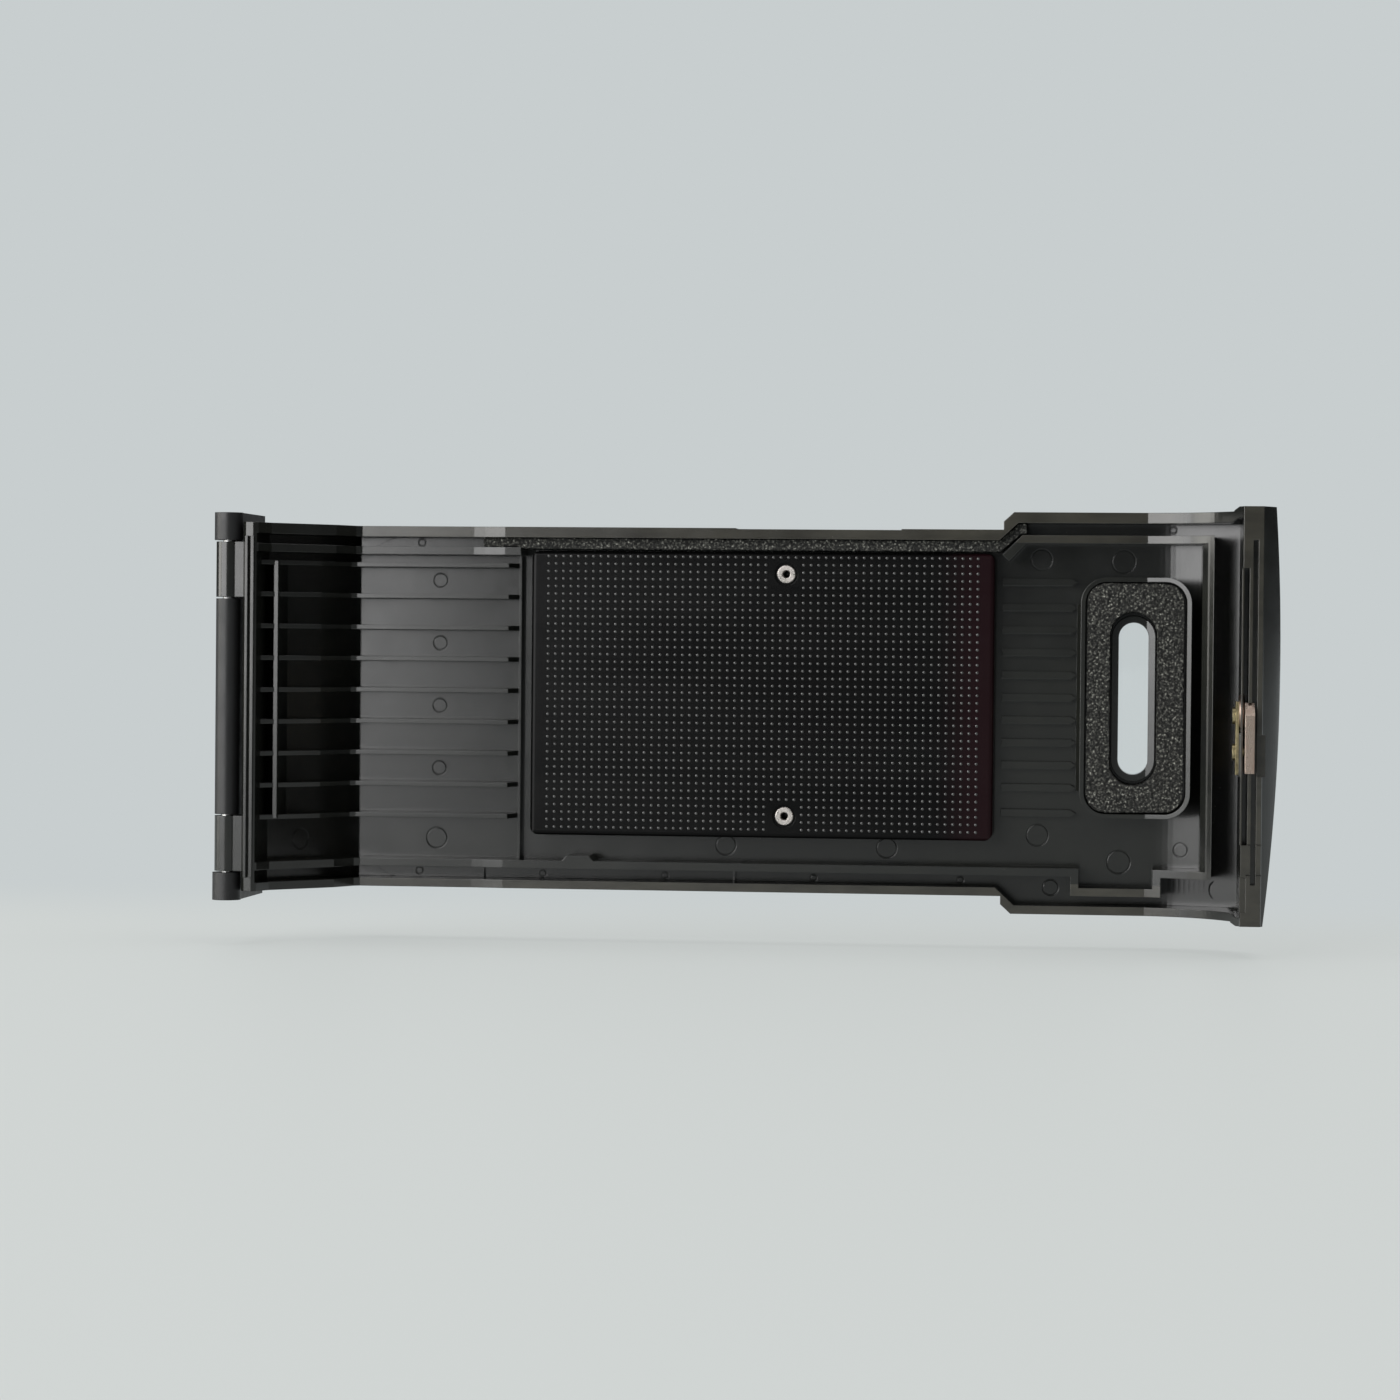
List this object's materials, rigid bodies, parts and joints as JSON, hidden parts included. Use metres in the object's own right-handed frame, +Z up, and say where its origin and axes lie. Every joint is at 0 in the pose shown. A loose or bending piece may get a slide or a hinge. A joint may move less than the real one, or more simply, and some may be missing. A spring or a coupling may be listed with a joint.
{
  "type": "camera film door",
  "caption": "Hinged back door of a 35 mm film camera, standing open, with a sprung pressure plate, ribbed inner face, foam light seals, cassette window and latch catch.",
  "frame": {"origin": "on the hinge axis, at the door's middle height", "axes": "+X along the open door to its free end, +Y from the inner face to the outer face of the open door, +Z up along the hinge axis"},
  "size_m": [0.138, 0.0236, 0.0537],
  "materials": {
    "bracket_black": "satin black paint",
    "pin_steel": "bright steel",
    "moulded_black": "satin black moulded plastic",
    "grained_cover": "grained black cover",
    "clear_pane": "clear",
    "foam": "open-cell black foam",
    "plate_black": "satin black",
    "nickel": "nickel plated",
    "spring_steel": "spring steel",
    "catch_steel": "plated steel, slightly coppery",
    "brass": "bare brass"
  },
  "bodies": {
    "camera_side": {"hinge_bracket": "bracket_black", "hinge_pin": "pin_steel"},
    "door": {"door_shell": "moulded_black", "outer_cover": "grained_cover", "window_pane": "clear_pane", "window_foam_pad": "foam", "upper_foam_strip": "foam", "plate_spring": "spring_steel", "spring_rivet_upper": "pin_steel", "spring_rivet_lower": "pin_steel", "latch_catch": "catch_steel", "latch_backing": "catch_steel", "latch_guard": "brass", "latch_rivet_upper": "brass", "latch_rivet_lower": "brass"},
    "pressure_plate": {"pressure_plate": "plate_black", "plate_eyelet_upper": "nickel", "plate_eyelet_lower": "nickel"}
  },
  "joints": [
    {"name": "door_swing", "type": "hinge", "parent": "camera_side", "child": "door", "pos_m": [0, 0, 0], "axis": [0, 0, 1], "range_deg": [-180, 0]},
    {"name": "plate_press", "type": "slide", "parent": "door", "child": "pressure_plate", "axis": [0, 1, 0], "range_m": [0, 0.0011], "stiffness_N_per_m": 400, "springref_m": -0.0015, "deforming": ["plate_spring"]}
  ]
}
